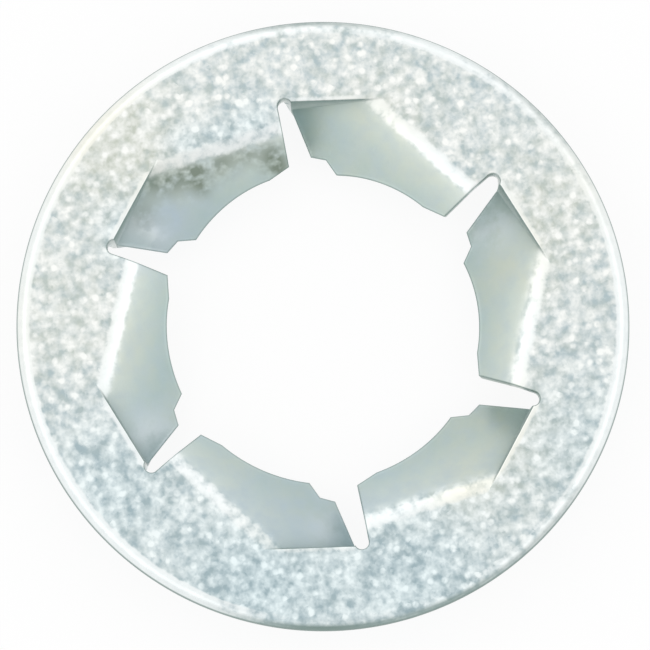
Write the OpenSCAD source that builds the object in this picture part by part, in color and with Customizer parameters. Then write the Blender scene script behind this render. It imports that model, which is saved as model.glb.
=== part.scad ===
// Push-on nut, stamped from one piece of spring steel sheet.
// A flat ring carries teeth that narrow slots part from each other. Each tooth is sheared down along
// a short straight step beside one slot and folded down along a slanted line that runs to the next,
// so it twists like a turbine blade, and its inner edge bites a stud that is pushed through the nut.
// The nut lies on the lowest corners of its teeth at z = 0, with the stud's axis on z.

/* [Ring] */
// Thickness of the sheet
sheet_t = 0.4; // [0.3:0.05:0.5]
// Outside diameter
outer_d = 11.9; // [11:0.1:14]
// Rounding that blanking leaves round the upper rim
rim_round = 0.24; // [0.05:0.01:0.25]
// Break of the lower rim
rim_break = 0.05; // [0.02:0.01:0.1]

/* [Bore and slots] */
// Diameter of the circle on which the teeth end
bore_d = 6.1; // [5.6:0.05:6.4]
// Number of teeth
tooth_count = 6; // [5:1:7]
// Width of a slot at its rounded root
slot_w = 0.28; // [0.25:0.01:0.45]
// How far the root of a slot runs past the step
root_past = 0.03; // [0.02:0.01:0.1]

/* [Fold] */
// From the bore's circle out to the line where the bend starts
fold_reach = 1.12; // [0.95:0.01:1.25]
// Angle from a tooth's middle to the radius that the fold is square to
fold_angle = 22.5; // [18:0.5:25]
// Inside radius of the bend
bend_r = 0.5; // [0.3:0.05:0.8]
// Slope of the folded tooth
tooth_tilt = 34; // [25:1:40]

/* [Step] */
// From the bore's circle out to the sheared step
step_reach = 1.33; // [1.3:0.01:1.6]
// Angle from a tooth's middle to the radius that the step is square to
step_angle = 22; // [20:0.5:25]
// Thickness of the drawn wall under the step
step_wall = 0.3; // [0.2:0.05:0.4]

/* [Biting edge] */
// Angle from the slot to the tip at its mouth
tip_angle = 6; // [5:0.5:7]
// Set-back of the tip from the bore's circle
tip_back = 0.36; // [0.3:0.01:0.45]
// Angle from the slot to the bottom of the nick beside the tip
nick_angle = 11; // [9:0.5:12]
// Set-back of the nick's bottom
nick_back = 0.28; // [0.2:0.01:0.3]
// Angle from the slot to the corner where the biting edge starts
bite_angle = 15; // [13.5:0.5:17]
// Angle from the next slot to the corner where the edge has run out
heel_angle = 2; // [1.5:0.1:2.5]
// Set-back of that corner from the bore's circle
heel_back = 0.14; // [0.05:0.01:0.2]
// Angle from the next slot to the point where the edge starts to run out
ease_angle = 10; // [6:0.5:14]

/* [Hidden] */
$fn = 96;

outer_r = outer_d / 2;
bore_r = bore_d / 2;
half_pitch = 180 / tooth_count;
fold_r = bore_r + fold_reach;
step_r = bore_r + step_reach;
// Radius of the bend on the upper face
crown_r = bend_r + sheet_t;
root_r = step_r / cos(half_pitch - step_angle) + root_past;
// A tooth is first made this far from its middle, and the slots then trim it
side_angle = half_pitch - heel_angle / 2;
// Height of the tools that cut through the whole nut
through = 10 * sheet_t;

function polar(r, a) = [r * cos(a), r * sin(a)];
function turned(p, a) = [p.x * cos(a) - p.y * sin(a), p.x * sin(a) + p.y * cos(a)];
// How far inside the start of the bend a tooth's point lies, by its radius and angle from the middle
function inside_fold(r, a) = fold_r - r * cos(a + fold_angle);
// How far the upper face lies below the ring there
function drop(s) = crown_r * (1 - cos(tooth_tilt)) + (s - crown_r * sin(tooth_tilt)) * tan(tooth_tilt);
// Where a line along the fold and a line along the step meet, at these distances from the axis
function corner(f, s) = let(d = sin(fold_angle + step_angle)) [
    (f * sin(step_angle) + s * sin(fold_angle)) / d,
    (s * cos(fold_angle) - f * cos(step_angle)) / d
];
// Points on a line along the fold and on one along the step, at an angle from a tooth's middle
function on_fold(f, a) = polar(f / cos(a + fold_angle), a);
function on_step(s, a) = polar(s / cos(a - step_angle), a);

tip_drop = drop(inside_fold(bore_r + tip_back, half_pitch - tip_angle));
bite_drop = drop(inside_fold(bore_r, half_pitch - bite_angle));
// Height of the ring's upper face over the lowest corner of a tooth
top_z = max(tip_drop, bite_drop) + sheet_t / cos(tooth_tilt);

module around()
    for (k = [0 : tooth_count - 1])
        rotate(k * 2 * half_pitch)
            children();

// Cuts a plan right through the nut
module punch()
    translate([0, 0, -through / 2])
        linear_extrude(top_z + through)
            children();

// Carries a section along the fold, with x inward from the start of the bend and y up from its axis
module along_fold()
    rotate(-fold_angle)
        translate([fold_r, 0, top_z - crown_r])
            rotate([90, 0, 180])
                linear_extrude(2 * outer_r, center = true)
                    children();

// Section of the folded sheet: a flat lap under the ring's face, the bend and the slope
module folded_sheet() {
    translate([-2 * sheet_t, bend_r])
        square([2 * sheet_t, sheet_t]);
    intersection() {
        difference() {
            circle(crown_r);
            circle(bend_r);
        }
        square(crown_r + sheet_t);
        rotate(-tooth_tilt)
            translate([-2 * crown_r, 0])
                square(2 * crown_r);
    }
    rotate(-tooth_tilt)
        translate([0, bend_r])
            square([outer_r, sheet_t]);
}

// Blade that laps onto the ring behind the fold and into the drawn wall behind the step
module blade() {
    lap_f = fold_r + sheet_t;
    lap_s = step_r + step_wall / 3;
    intersection() {
        punch()
            polygon([
                polar(bore_r / 2, side_angle),
                polar(bore_r / 2, -side_angle),
                on_fold(lap_f, -side_angle),
                corner(lap_f, lap_s),
                on_step(lap_s, side_angle)
            ]);
        along_fold()
            folded_sheet();
    }
}

// Drawn wall that joins the sheared edge of a blade to the ring, with a lap behind the fold
module step() {
    lap_f = fold_r + sheet_t * 3 / 4;
    back = step_r + step_wall;
    intersection() {
        punch()
            polygon([
                corner(lap_f, step_r),
                corner(lap_f, back),
                on_step(back, side_angle),
                on_step(step_r, side_angle)
            ]);
        along_fold()
            polygon([
                [-sheet_t, crown_r],
                [-sheet_t, bend_r],
                [0, bend_r],
                [outer_r, bend_r - outer_r * tan(tooth_tilt)],
                [outer_r, crown_r]
            ]);
    }
}

// Flat ring with a rounded rim, open over the blades
module ring() {
    edge_f = fold_r + sheet_t / 2;
    edge_s = step_r + step_wall * 2 / 3;
    edge_angle = half_pitch - heel_angle * 3 / 4;
    window = [
        polar(bore_r, -edge_angle),
        on_fold(edge_f, -edge_angle),
        corner(edge_f, edge_s),
        on_step(edge_s, edge_angle),
        polar(bore_r, edge_angle)
    ];
    difference() {
        translate([0, 0, top_z - sheet_t])
            rotate_extrude()
                rim_section();
        punch()
            polygon([for (k = [0 : tooth_count - 1], p = window) turned(p, k * 2 * half_pitch)]);
    }
}

module rim_section() {
    flat = outer_r - rim_round;
    side = sheet_t - rim_round;
    polygon([
        [0, 0],
        [outer_r - rim_break, 0],
        [outer_r, rim_break],
        [outer_r, side],
        [flat, side],
        [flat, sheet_t],
        [0, sheet_t]
    ]);
    translate([flat, side])
        intersection() {
            circle(rim_round);
            square(rim_round);
        }
}

// Plan of a slot along +x, with the tip and nick of one tooth and the heel of the next at its mouth
module slot() {
    root_x = root_r - slot_w / 2;
    heel = polar(bore_r + heel_back, heel_angle);
    ease = polar(bore_r, ease_angle);
    bite = polar(bore_r, -bite_angle);
    nick = polar(bore_r + nick_back, -nick_angle);
    polygon([
        [root_x, slot_w / 2],
        heel,
        ease + (ease - heel) / 2,
        [bore_r / 2, 0],
        bite + (bite - nick) / 2,
        nick,
        polar(bore_r + tip_back, -tip_angle),
        [root_x, -slot_w / 2]
    ]);
    translate([root_x, 0])
        intersection() {
            circle(d = slot_w);
            translate([0, -slot_w / 2])
                square(slot_w);
        }
}

module nut()
    color("silver")
        difference() {
            union() {
                ring();
                around() {
                    blade();
                    step();
                }
            }
            around()
                rotate(half_pitch)
                    punch()
                        slot();
            punch()
                circle(bore_r);
        }

nut();
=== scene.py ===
import math

import bmesh
import bpy
import numpy as np
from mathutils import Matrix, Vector


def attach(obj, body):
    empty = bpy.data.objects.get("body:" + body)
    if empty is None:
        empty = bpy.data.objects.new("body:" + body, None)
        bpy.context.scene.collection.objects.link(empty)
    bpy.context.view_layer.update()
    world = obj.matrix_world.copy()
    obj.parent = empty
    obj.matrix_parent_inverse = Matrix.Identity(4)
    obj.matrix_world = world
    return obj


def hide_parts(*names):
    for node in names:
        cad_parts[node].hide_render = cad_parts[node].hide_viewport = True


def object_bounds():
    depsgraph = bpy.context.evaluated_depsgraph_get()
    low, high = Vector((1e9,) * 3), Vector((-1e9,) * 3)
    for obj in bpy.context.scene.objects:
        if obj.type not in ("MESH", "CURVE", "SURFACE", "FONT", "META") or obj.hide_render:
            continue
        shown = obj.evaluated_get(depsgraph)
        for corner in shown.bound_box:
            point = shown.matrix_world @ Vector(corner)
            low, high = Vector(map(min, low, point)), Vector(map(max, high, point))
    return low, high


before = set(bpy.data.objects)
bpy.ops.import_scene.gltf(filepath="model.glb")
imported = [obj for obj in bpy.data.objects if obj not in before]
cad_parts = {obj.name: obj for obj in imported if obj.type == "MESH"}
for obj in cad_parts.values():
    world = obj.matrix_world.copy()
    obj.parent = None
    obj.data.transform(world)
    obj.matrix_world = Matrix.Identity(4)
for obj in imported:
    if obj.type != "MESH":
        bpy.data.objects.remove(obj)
cadLow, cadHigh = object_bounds()
mm = 0.001
print("frame loaded, box in mm:", [round(v / mm, 3) for v in (*cadLow, *cadHigh)])

# push-on nut, lengths in mm and angles in degrees, a tooth centred on +X
nut = {
    "teeth": 6,
    "outerR": cadHigh.x / mm,
    "topZ": cadHigh.z / mm,
    "boreR": 3.05,
    "sheet": 0.4,
    "rimRound": 0.24,
    "rimBreak": 0.05,
    "foldR": 4.17,  # where the bend starts, square to foldAngle
    "foldAngle": -22.5,
    "bendR": 0.5,  # inside radius
    "tilt": 35.4,
    "stepR": 4.38,  # sheared step, square to stepAngle
    "stepAngle": 22,
    "stepWall": 0.3,
    "stepRoll": 0.05,  # rounding over the step's upper edge
    "wallBlend": 0.12,  # run of the drawn wall on the underside
    "slotHalf": 0.14,
    "rootR": 4.453,
    "tip": (3.41, 24),  # radius and angle of the corners of the inner edge
    "nick": (3.33, 19),
    "bite": (3.05, 15),
    "ease": (3.05, -20),
    "heel": (3.19, -28),
    "edgeRound": 0.03,  # worn edge all round the teeth and slots
    "lean": 0.3,  # how far the cut edges lean with the teeth: 0 upright, 1 square to the sheet
}
# where the finish and the painted light and shade change, lengths in mm; the tints and the painted shade
# and highlight spots are (x, y, radius, strength)
paint = {
    "bentFrom": 0.04,  # drop at which the tooth's own colour starts
    "bentOver": 0.12,
    "foldFrom": 0.08,  # painted highlight band along the fold, partly rubbed bright
    "foldRise": 0.14,
    "foldBand": 0.34,
    "foldFall": 0.16,
    "foldRubAndHighlight": (0.9, 1.0, 0.65, 1.0, 0.7, 0.9),  # how much, tooth by tooth
    "foldShift": (-0.04, 0.0, 0.0, 0.0, 0.0, -0.07),  # and how far inward
    "litNearFoldFrom": 0.08,  # painted light: drops over which a tooth darkens from light below its fold
    "litNearFoldOver": 0.75,
    "lipBand": 0.12,  # painted highlight on the lip above the step
    "creaseBand": 0.16,  # painted shade in the crease below it, dark at its edge and then weaker
    "creaseFoot": 0.5,
    "edgeDark": 0.75,  # cut edges darkened at their upper and lower corners: the sheared edge's colour with painted dark reflection on its rounds
    "edgeFoot": 0.2,
    "stepHeight": 0.12,
    "rimFrom": 0.04,  # painted highlight along the margin of the flat face
    "rimShear": 0.1,  # drops round the rim
    "rimShearOver": 0.04,
    "rimDarkReflection": 0.13,  # painted dark reflection along the rim's edge, from this far inside it
    "rimDarkReflectionOver": 0.05,
    "warm": [(-3.5, 4.2, 1.4, 0.9), (-4.9, 0.9, 1.3, 0.5), (4.9, 1.9, 1.2, 0.5), (3.0, -2.6, 1.2, 0.8),
             (3.9, 0.6, 1.0, 0.6), (1.7, 3.7, 1.0, 0.6), (-1.2, -3.7, 1.0, 0.5),
             (2.1, -3.6, 0.7, 0.8)],
    # painted shade, partly a bluer tint: darker and bluer on the ring's lower side and near the
    # upper-left tooth
    "coolAndShade": [(-4.6, -2.4, 1.6, 0.7), (-2.2, -4.8, 1.8, 0.9), (1.0, -5.2, 1.8, 0.8), (4.6, -3.2, 1.5, 0.5),
             (-3.3, 2.3, 0.6, 0.9), (-2.5, 2.6, 0.6, 0.6), (-0.6, 4.1, 0.45, 0.6), (-1.3, 3.95, 0.4, 0.5),
             (-2.0, 3.9, 0.4, 0.5)],
    # painted shade: a dark band along the upper-left tooth's steep bend
    "bendShade": [(-2.8, 3.36, 0.28, 0.9), (-2.4, 3.3, 0.3, 0.8), (-1.95, 3.38, 0.28, 1.0),
              (-1.4, 3.48, 0.3, 0.8), (-0.9, 3.57, 0.25, 0.7), (-0.4, 3.42, 0.28, 0.9),
              (-0.3, 3.15, 0.22, 0.7), (-3.1, 2.78, 0.3, 0.5), (-1.85, 3.08, 0.2, 0.6)],
    # painted highlights: whitish spots on the teeth near their folds
    "paintedHighlight": [(-3.5, 2.35, 0.5, 1.5), (-3.1, 2.24, 0.35, 0.7), (3.6, 1.56, 0.5, 0.9),
               (-3.7, -1.68, 0.5, 0.9), (-0.47, -4.03, 0.45, 0.6)],
    # painted dark reflection on the rim's edge, which also takes away the rim's painted highlight
    "darkReflection": [(-1.0, -5.8, 1.6, 1.0), (1.6, -5.6, 1.2, 0.7), (1.0, 5.8, 1.8, 0.55), (4.8, 3.4, 1.5, 0.4),
             (3.6, -4.7, 1.2, 0.45)],
}
# how finely each stretch of the grid is cut
cuts = {
    "heel": 6,
    "bore": 44,
    "nick": 6,
    "tip": 7,
    "ring": 12,
    "wall": 14,
    "root": 12,
    "blade": 26,
    "round": 3,
    "rim": 8,
}


def rad(degrees):
    return math.radians(degrees)


# point at a radius and an angle
def polar(r, a):
    return np.stack([r * np.cos(a), r * np.sin(a)], axis=-1)


# straight rows of a grid: start and end arrays, one step per entry of t
def between(start, end, t):
    return start + (end - start) * t


# soft step from 0 to 1
def ease(t):
    t = np.clip(t, 0, 1)
    return t * t * (3 - 2 * t)


# how far a bent sheet has dropped at s past the start of a bend of radius r:
# the circle's sagitta up to the tilt, then a straight slope
def bendDrop(s, r):
    tilt = rad(nut["tilt"])
    run = r * math.sin(tilt)
    arc = r - np.sqrt(r * r - np.clip(s, 0, run) ** 2)
    return arc + np.clip(s - run, 0, None) * math.tan(tilt)


# distance past the start of the fold, and past the step, of plan points
def pastFold(p):
    a = rad(nut["foldAngle"])
    return nut["foldR"] - p[..., 0] * math.cos(a) - p[..., 1] * math.sin(a)


def pastStep(p):
    a = rad(nut["stepAngle"])
    return nut["stepR"] - p[..., 0] * math.cos(a) - p[..., 1] * math.sin(a)


# upper face: the lesser of the bend's drop and a quarter round that rolls over the step
def dropTop(p):
    roll = nut["stepRoll"]
    d = pastStep(p)
    rolled = roll - np.sqrt(np.clip(roll * roll - np.clip(d, 0, roll) ** 2, 0, None))
    rolled = np.where(d < roll, rolled, 9.0)
    return np.minimum(bendDrop(pastFold(p), nut["bendR"] + nut["sheet"]), rolled)


# lower face: a sheet's thickness below, eased down to the blade over the drawn wall
# and faded out towards the slot's centre line, so that the wall ends in a round
def dropUnder(p):
    slotA = math.pi / nut["teeth"]
    aside = p[..., 0] * math.sin(slotA) - p[..., 1] * math.cos(slotA)
    blend = ease((pastStep(p) + nut["stepWall"]) / nut["wallBlend"]) * ease(aside / nut["slotHalf"])
    return nut["sheet"] + bendDrop(pastFold(p), nut["bendR"]) * blend


# how far the lower corner of a cut edge lags behind the upper one: the sheet's thickness
# times the sine of the bend, back along the fold's direction
def lag(p):
    bent = np.clip(pastFold(p) / (nut["bendR"] + nut["sheet"]), 0, math.sin(rad(nut["tilt"])))
    bent = bent * ease(pastStep(p) / nut["stepWall"])
    return nut["lean"] * nut["sheet"] * bent[..., None] * polar(1.0, rad(nut["foldAngle"]))


# edge of one tooth in plan, from the root of one slot to the root of the next:
# a quarter round, the slot's side, the inner edge with its corners, and the same back
def toothEdge():
    half = math.pi / nut["teeth"]
    w = nut["slotHalf"]
    rootX = nut["rootR"] - w
    # round of the root, cut where lines along the step would cut it
    lean = half - rad(nut["stepAngle"])
    down = np.linspace(0, 1, cuts["root"] + 1) ** 1.5
    turn = lean + np.arccos(1 - down * (1 - math.sin(lean)))
    turn[0] = 0
    names = ("heel", "ease", "bite", "nick", "tip")
    corner = {k: polar(nut[k][0], rad(nut[k][1])) for k in names}
    along = np.stack([rootX + w * np.cos(turn), w * np.sin(turn)], axis=-1)
    left = along @ spin(-half).T
    right = (along * (1, -1)) @ spin(half).T
    down = np.linspace(0, 1, cuts["blade"] + 1)[1:, None]
    sideIn = between(left[-1], corner["heel"], down)
    sideOut = between(right[-1], corner["tip"], down)
    arcA = np.linspace(rad(nut["ease"][1]), rad(nut["bite"][1]), cuts["bore"] + 1)[1:]
    inner = np.concatenate([
        between(corner["heel"], corner["ease"], np.linspace(0, 1, cuts["heel"] + 1)[:, None]),
        polar(nut["boreR"], arcA),
        between(corner["bite"], corner["nick"], np.linspace(0, 1, cuts["nick"] + 1)[1:, None]),
        between(corner["nick"], corner["tip"], np.linspace(0, 1, cuts["tip"] + 1)[1:, None]),
    ])
    sideA = np.concatenate([left, sideIn])
    sideB = np.concatenate([right, sideOut])
    return sideA, inner, sideB


# turn by an angle in plan
def spin(a):
    return np.array([[math.cos(a), -math.sin(a)], [math.sin(a), math.cos(a)]])


# inward normals of an open line, mitred at its corners; the ends take the given directions
def inward(line, first, last):
    seg = np.diff(line, axis=0)
    seg /= np.linalg.norm(seg, axis=1, keepdims=True)
    n = np.stack([seg[:, 1], -seg[:, 0]], axis=-1)
    mid = (n[:-1] + n[1:]) / (1 + np.sum(n[:-1] * n[1:], axis=1, keepdims=True))
    return np.concatenate([[first], mid, [last]])


# plan of one sector: rows run from slot to slot, first from the rim's circle to chevrons
# that lie along the step, then past the slots' roots, then straight to the inner edge,
# and each row is shifted linearly so that its ends lie on the two sides
def sectorPlan(rimR, sideA, inner, sideB):
    half = math.pi / nut["teeth"]
    lean = rad(nut["stepAngle"])
    span = np.linspace(-1, 1, len(inner))
    apex = np.linalg.norm(sideA[0])
    outerRow = nut["stepR"] + nut["stepWall"] + nut["wallBlend"]
    outerRow /= math.cos(half - lean)
    wallR = np.linspace(outerRow, apex, cuts["wall"] + 1)[:-1]
    ringT = np.linspace(0, 1, cuts["ring"] + 1)[:-1]
    nRoot = cuts["root"] + 1
    endsR = np.concatenate([wallR, np.linalg.norm(sideA[:nRoot], axis=1)])
    endsA = np.concatenate([np.full(len(wallR), half), half - np.arctan2(
        np.abs(sideA[:nRoot] @ spin(half).T)[:, 1], np.abs(sideA[:nRoot] @ spin(half).T)[:, 0])])
    a = endsA[:, None] * span
    chevron = polar((endsR * np.cos(endsA - lean))[:, None] / np.cos(np.abs(a) - lean), a)
    rim = polar(np.full(len(span), rimR), half * span)
    ringRows = between(rim, chevron[0], ringT[:, None, None])
    bladeT = np.linspace(0, 1, cuts["blade"] + 1)[1:]
    bladeRows = between(chevron[-1], inner, bladeT[:, None, None])
    rows = np.concatenate([ringRows, chevron, bladeRows])
    nOut = len(ringT) + len(wallR)
    c = (span[None, :, None] + 1) / 2
    inside = rows[nOut:]
    shiftA = (sideA - inside[:, 0])[:, None]
    shiftB = (sideB - inside[:, -1])[:, None]
    rows[nOut:] = inside + (1 - c) * shiftA + c * shiftB
    return rows


# quads of a grid that starts at vertex first
def gridQuads(first, rows, columns):
    i = np.arange(rows - 1)[:, None] * columns + np.arange(columns - 1)[None, :] + first
    return np.stack([i, i + columns, i + columns + 1, i + 1], axis=-1).reshape(-1, 4)


# where the face is bent, has a painted highlight (partly rubbed), is sheared with painted shade, and has
# painted light below its fold, each from 0 to 1: bent grows with the drop below the flat ring, the
# painted highlight is a band along the fold and over the step's upper edge, the sheared wall starts where
# the step falls away and its painted shade fades into the tooth, and the painted light below the fold
# fades with the drop
def facePaint(p, drop, k):
    f, d = pastFold(p), pastStep(p)
    onTooth = d > nut["stepRoll"] * 0.6
    stepped = ease(bendDrop(f, nut["bendR"] + nut["sheet"]) / paint["stepHeight"])
    bent = ease((drop - paint["bentFrom"]) / paint["bentOver"])
    band = f - paint["foldShift"][k]
    fold = ease((band - paint["foldFrom"]) / paint["foldRise"])
    fold = fold * (1 - ease((band - paint["foldBand"]) / paint["foldFall"])) * paint["foldRubAndHighlight"][k]
    lip = ease((d + paint["lipBand"]) / paint["lipBand"]) * stepped
    # painted highlight, partly rubbed: a band along the fold on the tooth, and the step's lip beside it
    rubAndHighlight = np.where(onTooth, fold, lip)
    # painted shade: the step's sheared wall darkened as a shadowed crease, fading into the tooth below it
    foot = paint["creaseFoot"] * np.exp((nut["stepRoll"] - d) / paint["creaseBand"])
    sheared = np.where(onTooth, np.where(d < nut["stepRoll"], 1, foot), 0) * stepped
    margin = nut["outerR"] - nut["rimRound"] - np.linalg.norm(p, axis=-1)
    # painted highlight round the margin of the rim
    rubAndHighlight = np.maximum(rubAndHighlight, 1 - ease(margin / paint["rimFrom"]))
    # painted light: the tooth lighter just below its fold, darker deeper down
    litNearFold = np.clip(1 - (drop - paint["litNearFoldFrom"]) / paint["litNearFoldOver"], 0, 1) ** 2
    return np.stack([bent, rubAndHighlight, np.clip(sheared, 0, 1), litNearFold], axis=-1)


# one sector as grids that share their borders, each with its paint: upper and lower face,
# rim and cut edge
def makeSector(k):
    e = nut["edgeRound"]
    half = math.pi / nut["teeth"]
    sideA, inner, sideB = toothEdge()
    edge = np.concatenate([sideA, inner[1:-1], sideB[::-1]])
    normal = inward(edge, polar(1.0, -half), polar(1.0, half))
    flush = edge + e * normal
    flushLow = flush + lag(edge)
    nSide = len(sideA)

    # plan grid of a face inside its outline
    def face(rimR, line):
        middle = line[nSide - 1:len(line) - nSide + 1]
        return sectorPlan(rimR, line[:nSide], middle, line[-nSide:][::-1])

    topPlan = face(nut["outerR"] - nut["rimRound"], flush)
    lowPlan = face(nut["outerR"] - nut["rimBreak"], flushLow)
    top = np.dstack([topPlan, nut["topZ"] - dropTop(topPlan)])
    low = np.dstack([lowPlan, nut["topZ"] - dropUnder(lowPlan)])
    topPaint = facePaint(topPlan, dropTop(topPlan), k)
    lowPaint = np.zeros_like(topPaint)
    lowPaint[..., 0] = ease((dropUnder(lowPlan) - nut["sheet"]) / paint["bentOver"])

    # rim: a quarter round down from the face, the straight side and the broken lower edge
    turn = np.linspace(0, math.pi / 2, cuts["rim"] + 1)
    r = nut["rimRound"]
    lowBreak = nut["rimBreak"]
    rimR = nut["outerR"] - np.concatenate([r - r * np.sin(turn), [0, lowBreak]])
    rimDrop = np.concatenate([r - r * np.cos(turn), [nut["sheet"] - lowBreak, nut["sheet"]]])
    a = half * np.linspace(-1, 1, top.shape[1])
    rimZ = np.repeat(nut["topZ"] - rimDrop[:, None], len(a), axis=1)
    rim = np.dstack([polar(rimR[:, None], a[None, :]), rimZ])
    rimPaint = np.zeros((len(rimDrop), len(a), 4))
    # painted highlight over the whole rim
    rimPaint[:, :, 1] = 1
    rimPaint[:, :, 2] = ease((rimDrop - paint["rimShear"]) / paint["rimShearOver"])[:, None]
    rimPaint[-1] = 0

    # cut edge: a small round off each face with a straight wall between
    turn = np.linspace(0, math.pi / 2, cuts["round"] + 1)
    out = np.concatenate([np.sin(turn), np.sin(turn)[::-1]])
    sag = e * np.concatenate([1 - np.cos(turn), (np.cos(turn) - 1)[::-1]])
    upper = (np.arange(len(out)) < len(turn))[:, None]
    plan = np.where(upper[..., None], flush[None], flushLow[None])
    plan = plan - e * out[:, None, None] * normal[None]
    z = nut["topZ"] - np.where(upper, dropTop(flush)[None], dropUnder(flushLow)[None])
    wall = np.dstack([plan, z - sag[:, None]])
    wallPaint = np.repeat(facePaint(flush, dropTop(flush), k)[None], len(out), axis=0)
    # cut edges darkened: the sheared edge's colour, with painted dark reflection on the upper round
    dark = paint["edgeDark"] * out * np.where(upper[:, 0], 1, paint["edgeFoot"])
    wallPaint[..., 2] = np.maximum(wallPaint[..., 2], dark[:, None])
    return (top, topPaint), (low, lowPaint), (rim, rimPaint), (wall, wallPaint)


# sum of soft round spots at given places, each (x, y, radius, strength)
def spots(p, places):
    x, y, r, strength = np.array(places).T
    away = (p[:, :1] - x) ** 2 + (p[:, 1:2] - y) ** 2
    return np.sum(strength * np.exp(-away / r ** 2), axis=1)


# joins the sectors turned round the axis into one closed mesh
def makeNut():
    points, quads, marks = [], [], []
    first = 0
    for k in range(nut["teeth"]):
        turned = spin(2 * math.pi * k / nut["teeth"])
        for grid, gridPaint in makeSector(k):
            rows, columns = grid.shape[:2]
            p = grid.reshape(-1, 3).copy()
            p[:, :2] = p[:, :2] @ turned.T
            points.append(p)
            marks.append(gridPaint.reshape(-1, 4))
            quads.append(gridQuads(first, rows, columns))
            first += len(p)
    points = np.concatenate(points)
    marks = np.concatenate(marks)
    mesh = bpy.data.meshes.new("pushNut")
    mesh.from_pydata(points * mm, [], np.concatenate(quads))
    layers = dict(zip(("bent", "rubAndHighlight", "sheared", "litNearFold"), marks.T))
    for name in ("warm", "coolAndShade", "bendShade", "paintedHighlight", "darkReflection"):
        layers[name] = spots(points, paint[name])
    # painted dark reflection along the rim's edge where its spots lie
    fromEdge = nut["outerR"] - np.linalg.norm(points[:, :2], axis=1)
    edge = ease((paint["rimDarkReflection"] - fromEdge) / paint["rimDarkReflectionOver"])
    layers["sheared"] = np.maximum(layers["sheared"], np.clip(layers["darkReflection"], 0, 1) * edge)
    for name, values in layers.items():
        mesh.attributes.new(name, "FLOAT", "POINT").data.foreach_set("value", values)
    b = bmesh.new()
    b.from_mesh(mesh)
    bmesh.ops.remove_doubles(b, verts=b.verts, dist=0.0005 * mm)
    bmesh.ops.recalc_face_normals(b, faces=b.faces)
    openEdges = sum(not e.is_manifold for e in b.edges)
    b.to_mesh(mesh)
    b.free()
    mesh.shade_smooth()
    print("nut:", len(mesh.polygons), "faces,", openEdges, "open edges")
    piece = bpy.data.objects.new("push_nut", mesh)
    bpy.context.collection.objects.link(piece)
    return piece


pushNut = makeNut()
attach(pushNut, "root")
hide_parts("nut")


# adds a node, sets its inputs by name or number and links those that are sockets
def addNode(tree, kind, inputs=None, **settings):
    node = tree.nodes.new(kind)
    for name, value in settings.items():
        setattr(node, name, value)
    for name, value in (inputs or {}).items():
        if isinstance(value, bpy.types.NodeSocket):
            tree.links.new(value, node.inputs[name])
        else:
            node.inputs[name].default_value = value
    return node


# zinc finish: speckled on the ring, with a painted highlight, partly rubbed, on the folds, smooth and
# greener on the teeth
zinc = {
    "dark": (0.45, 0.55, 0.58, 1),
    "light": (0.97, 0.98, 0.95, 1),
    "warmDark": (0.57, 0.61, 0.54, 1),
    # darker, bluer speck colours where the painted shade lies
    "coolDark": (0.34, 0.45, 0.49, 1),
    "coolLight": (0.84, 0.95, 0.97, 1),
    # colours of the painted highlight, partly rubbed zinc
    "rubAndHighlight": (0.94, 0.98, 0.98, 1),
    "rubAndHighlightWarm": (0.95, 0.94, 0.84, 1),
    "tooth": (0.45, 0.57, 0.56, 1),
    # painted light: the tooth's colour just below its fold
    "toothLit": (0.79, 0.86, 0.80, 1),
    "toothWarm": (0.66, 0.69, 0.57, 1),
    "toothCool": (0.50, 0.60, 0.66, 1),
    # painted highlight colour on the teeth
    "toothHighlight": (0.82, 0.89, 0.92, 1),
    # painted shade colour on the upper-left tooth's bend
    "bendShade": (0.25, 0.30, 0.25, 1),
    # colour of sheared edges and of the painted shade in creases and along the rim
    "sheared": (0.24, 0.32, 0.30, 1),
    "grain": 4800,  # specks per metre
    "speckLow": 0.34,  # range of the noise between the dark and the light specks
    "speckHigh": 0.7,
    "crystal": 15000,  # flakes, bright dots and blotches per metre
    "glint": 5500,
    "blotch": 1400,
    "tilt": 0.12,  # how far a flake tips the normal
    "roughness": 0.42,
    "rubAndHighlightRoughness": 0.3,
}


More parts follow.
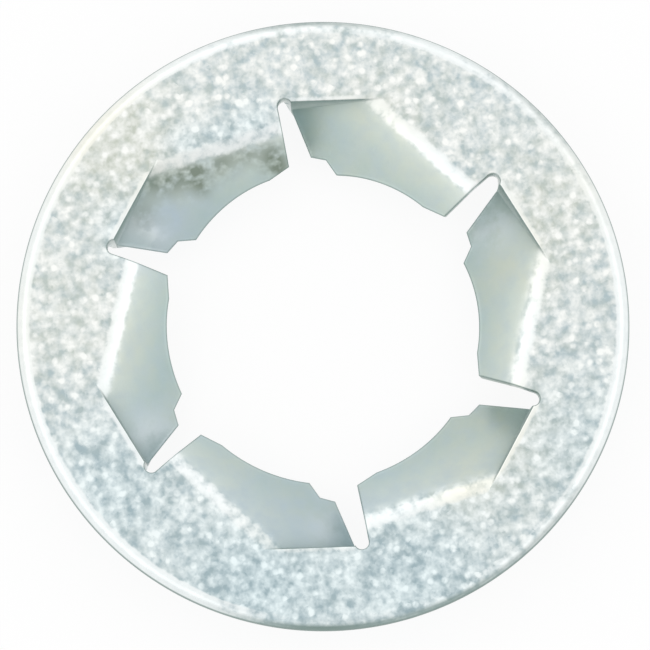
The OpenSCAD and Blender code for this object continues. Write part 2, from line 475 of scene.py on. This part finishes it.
def zincMaterial():
    mat = bpy.data.materials.new("zinc_steel")
    mat.use_nodes = True
    t = mat.node_tree
    t.nodes.clear()
    where = addNode(t, "ShaderNodeTexCoord").outputs["Object"]

    def mask(name):
        return addNode(t, "ShaderNodeAttribute", attribute_name=name).outputs["Fac"]

    def noise(scale, detail):
        inputs = {"Vector": where, "Scale": scale, "Detail": detail}
        return addNode(t, "ShaderNodeTexNoise", inputs).outputs["Fac"]

    def calc(operation, a, b):
        node = addNode(t, "ShaderNodeMath", {0: a, 1: b}, operation=operation, use_clamp=True)
        return node.outputs[0]

    def ramp(value, low, high):
        inputs = {"Value": value, "From Min": low, "From Max": high}
        return addNode(t, "ShaderNodeMapRange", inputs).outputs[0]

    def blend(factor, a, b):
        inputs = {"Factor": factor, "A": a, "B": b}
        return addNode(t, "ShaderNodeMix", inputs, data_type="RGBA").outputs[2]

    bent, sheared, litNearFold, coolAndShade = mask("bent"), mask("sheared"), mask("litNearFold"), mask("coolAndShade")
    crystal = addNode(t, "ShaderNodeTexVoronoi", {"Vector": where, "Scale": zinc["crystal"]})
    crystal = crystal.outputs["Color"]
    flake = addNode(t, "ShaderNodeSeparateColor", {0: crystal}).outputs[0]
    clouds = ramp(noise(300, 2), 0.35, 0.65)
    warm = calc("MULTIPLY", mask("warm"), calc("ADD", clouds, 0.5))
    patches = calc("MULTIPLY", noise(zinc["grain"] * 0.3, 1), 0.12)
    mottle = calc("ADD", calc("MULTIPLY", noise(zinc["grain"], 2), 0.8), calc("MULTIPLY", flake, 0.08))
    mottle = calc("ADD", mottle, patches)
    tone = ramp(noise(zinc["grain"] * 0.8, 2), 0.35, 0.65)
    dark = blend(calc("ADD", warm, calc("MULTIPLY", tone, 0.4)), zinc["dark"], zinc["warmDark"])
    # painted shade, partly a bluer tint, on the ring's specks
    dark = blend(coolAndShade, dark, zinc["coolDark"])
    light = blend(coolAndShade, zinc["light"], zinc["coolLight"])
    # bright dots, one in the middle of some cells
    cell = addNode(t, "ShaderNodeTexVoronoi", {"Vector": where, "Scale": zinc["glint"]})
    chosen = addNode(t, "ShaderNodeSeparateColor", {0: cell.outputs["Color"]}).outputs[1]
    glint = calc("MULTIPLY", ramp(cell.outputs["Distance"], 0.45, 0.22), ramp(chosen, 0.5, 0.7))
    speck = ramp(mottle, zinc["speckLow"], zinc["speckHigh"])
    ring = blend(calc("ADD", speck, calc("MULTIPLY", glint, 0.45)), dark, light)
    blotch = ramp(noise(zinc["blotch"], 3), 0.3, 0.7)
    haze = ramp(noise(zinc["blotch"] * 1.9, 3), 0.4, 0.75)
    tint = calc("ADD", calc("MULTIPLY", blotch, 0.4), calc("MULTIPLY", warm, 0.4))
    # painted light: lighter tooth colour near the fold
    tooth = blend(litNearFold, zinc["tooth"], zinc["toothLit"])
    tooth = blend(tint, tooth, zinc["toothWarm"])
    tooth = blend(calc("ADD", calc("MULTIPLY", haze, 0.4), coolAndShade), tooth, zinc["toothCool"])
    # painted highlight spots on the teeth
    tooth = blend(calc("MULTIPLY", mask("paintedHighlight"), calc("ADD", haze, 0.6)), tooth, zinc["toothHighlight"])
    smear = ramp(noise(zinc["grain"], 2), 0.25, 0.55)
    # painted shade along the upper-left tooth's bend, broken up by noise
    tooth = blend(calc("MULTIPLY", mask("bendShade"), smear), tooth, zinc["bendShade"])
    # the painted highlight bands, partly rubbed, break up into specks along their edges
    # no painted highlight where the rim has its painted dark reflection
    rubAndHighlight = calc("MULTIPLY", mask("rubAndHighlight"), calc("SUBTRACT", 1.0, mask("darkReflection")))
    rubAndHighlight = calc("ADD", calc("MULTIPLY", rubAndHighlight, 0.7), calc("MULTIPLY", speck, 0.3))
    rubAndHighlight = ramp(rubAndHighlight, 0.32, 0.68)
    colour = blend(bent, ring, tooth)
    shine = blend(warm, zinc["rubAndHighlight"], zinc["rubAndHighlightWarm"])
    # painted highlight, partly rubbed, laid over the colour
    colour = blend(calc("MULTIPLY", rubAndHighlight, 0.85), colour, shine)
    # sheared edges and painted shade laid over the colour
    colour = blend(sheared, colour, zinc["sheared"])

    # each crystal tips the normal its own way, less where the sheet is bent or carries the painted
    # highlight
    def vector(operation, inputs):
        return addNode(t, "ShaderNodeVectorMath", inputs, operation=operation).outputs[0]

    plain = calc("SUBTRACT", 1.0, calc("MULTIPLY", bent, 0.8))
    plain = calc("SUBTRACT", plain, calc("MULTIPLY", rubAndHighlight, 0.6))
    amount = calc("MULTIPLY", plain, zinc["tilt"])
    tip = vector("SUBTRACT", {0: crystal, 1: (0.5, 0.5, 0.5)})
    tip = vector("SCALE", {0: tip, "Scale": amount})
    facing = addNode(t, "ShaderNodeNewGeometry").outputs["Normal"]
    facing = vector("NORMALIZE", {0: vector("ADD", {0: facing, 1: tip})})
    matt = {"Factor": rubAndHighlight, "A": zinc["roughness"], "B": zinc["rubAndHighlightRoughness"]}
    matt = addNode(t, "ShaderNodeMix", matt).outputs[0]
    shader = addNode(t, "ShaderNodeBsdfPrincipled", {
        "Base Color": colour, "Metallic": 1.0, "Roughness": matt, "Normal": facing})
    addNode(t, "ShaderNodeOutputMaterial", {"Surface": shader.outputs[0]})
    return mat


pushNut.data.materials.append(zincMaterial())
print("zinc finish set")

stage = {"floorSize": 0.4, "floorColour": (0.95, 0.95, 0.95, 1), "glow": 0.88}


def makeFloor():
    half = stage["floorSize"] / 2
    mesh = bpy.data.meshes.new("floor")
    corners = np.array([(-half, -half, 0), (half, -half, 0), (half, half, 0), (-half, half, 0)])
    mesh.from_pydata(corners + (0, 0, cadLow.z - 0.002 * mm), [], [(0, 1, 2, 3)])
    floor = bpy.data.objects.new("floor", mesh)
    bpy.context.collection.objects.link(floor)
    mat = bpy.data.materials.new("paper")
    mat.use_nodes = True
    t = mat.node_tree
    t.nodes.clear()
    ray = addNode(t, "ShaderNodeLightPath").outputs

    def calc(operation, a, b):
        return addNode(t, "ShaderNodeMath", {0: a, 1: b}, operation=operation).outputs[0]

    seen = calc("MAXIMUM", ray["Is Camera Ray"], ray["Is Glossy Ray"])
    seen = calc("MAXIMUM", seen, ray["Is Transmission Ray"])
    glow = calc("MULTIPLY", seen, stage["glow"])
    paper = addNode(t, "ShaderNodeBsdfDiffuse", {"Color": stage["floorColour"]})
    white = addNode(t, "ShaderNodeEmission", {"Color": (1, 1, 1, 1), "Strength": 1.0})
    both = addNode(t, "ShaderNodeMixShader", {0: glow, 1: paper.outputs[0], 2: white.outputs[0]})
    addNode(t, "ShaderNodeOutputMaterial", {"Surface": both.outputs[0]})
    mesh.materials.append(mat)


makeFloor()

# studio sky: brightness at steps of height, from the horizon (0) to straight up (1), and soft
# lamps or dark places in it as (direction, sharpness, brightness added)
sky = {
    "heights": {0.0: 0.97, 0.3: 0.96, 0.5: 1.0, 0.75: 1.25, 0.92: 1.05, 1.0: 0.95},
    "places": [
        ((0.0, -0.6, 0.8), 24, -0.55),
        ((0.4, 0.5, 0.77), 14, -0.2),
        ((0.3, 0.95, 0.15), 6, 0.12),
    ],
}


def makeSky():
    world = bpy.data.worlds.new("studio")
    bpy.context.scene.world = world
    world.use_nodes = True
    t = world.node_tree
    t.nodes.clear()
    where = addNode(t, "ShaderNodeTexCoord").outputs["Generated"]
    height = addNode(t, "ShaderNodeSeparateXYZ", {0: where}).outputs["Z"]
    curveNode = addNode(t, "ShaderNodeFloatCurve", {"Value": height})
    curve = curveNode.mapping.curves[0]
    steps = sorted(sky["heights"].items())
    top = max(level for at, level in steps)
    curve.points[0].location = (steps[0][0], steps[0][1] / top)
    curve.points[1].location = (steps[-1][0], steps[-1][1] / top)
    for at, level in steps[1:-1]:
        curve.points.new(at, level / top)
    curveNode.mapping.update()

    def calc(operation, inputs):
        return addNode(t, "ShaderNodeMath", inputs, operation=operation).outputs[0]

    light = calc("MULTIPLY", {0: curveNode.outputs[0], 1: top})
    for toward, sharpness, level in sky["places"]:
        aim = Vector(toward).normalized()
        near = addNode(t, "ShaderNodeVectorMath", {0: where, 1: aim}, operation="DOT_PRODUCT")
        near = calc("MAXIMUM", {0: near.outputs["Value"], 1: 0.0})
        near = calc("POWER", {0: near, 1: sharpness})
        light = calc("MULTIPLY_ADD", {0: near, 1: level, 2: light})
    back = addNode(t, "ShaderNodeBackground", {"Color": (1, 1, 1, 1), "Strength": light})
    addNode(t, "ShaderNodeOutputWorld", {"Surface": back.outputs[0]})


makeSky()

# the view: angle round and above, and the width of the picture at the nut in mm
view = {"azimuth": -10, "elevation": 83.5, "lens": 200, "width": 12.58, "aim": (0.031, -0.055, 1.5)}


def makeCamera():
    data = bpy.data.cameras.new("view")
    data.lens = view["lens"]
    a, e = rad(view["azimuth"]), rad(view["elevation"])
    back = Vector((math.sin(a) * math.cos(e), -math.cos(a) * math.cos(e), math.sin(e)))
    camera = bpy.data.objects.new("view", data)
    bpy.context.collection.objects.link(camera)
    distance = view["width"] * data.lens / data.sensor_width * mm
    camera.location = Vector(view["aim"]) * mm + back * distance
    camera.rotation_mode = "QUATERNION"
    camera.rotation_quaternion = back.to_track_quat("Z", "Y")
    data.clip_start = distance / 100
    data.clip_end = distance * 20
    bpy.context.scene.camera = camera


makeCamera()
bpy.context.scene.view_settings.view_transform = "Standard"
print("floor, sky and camera set")
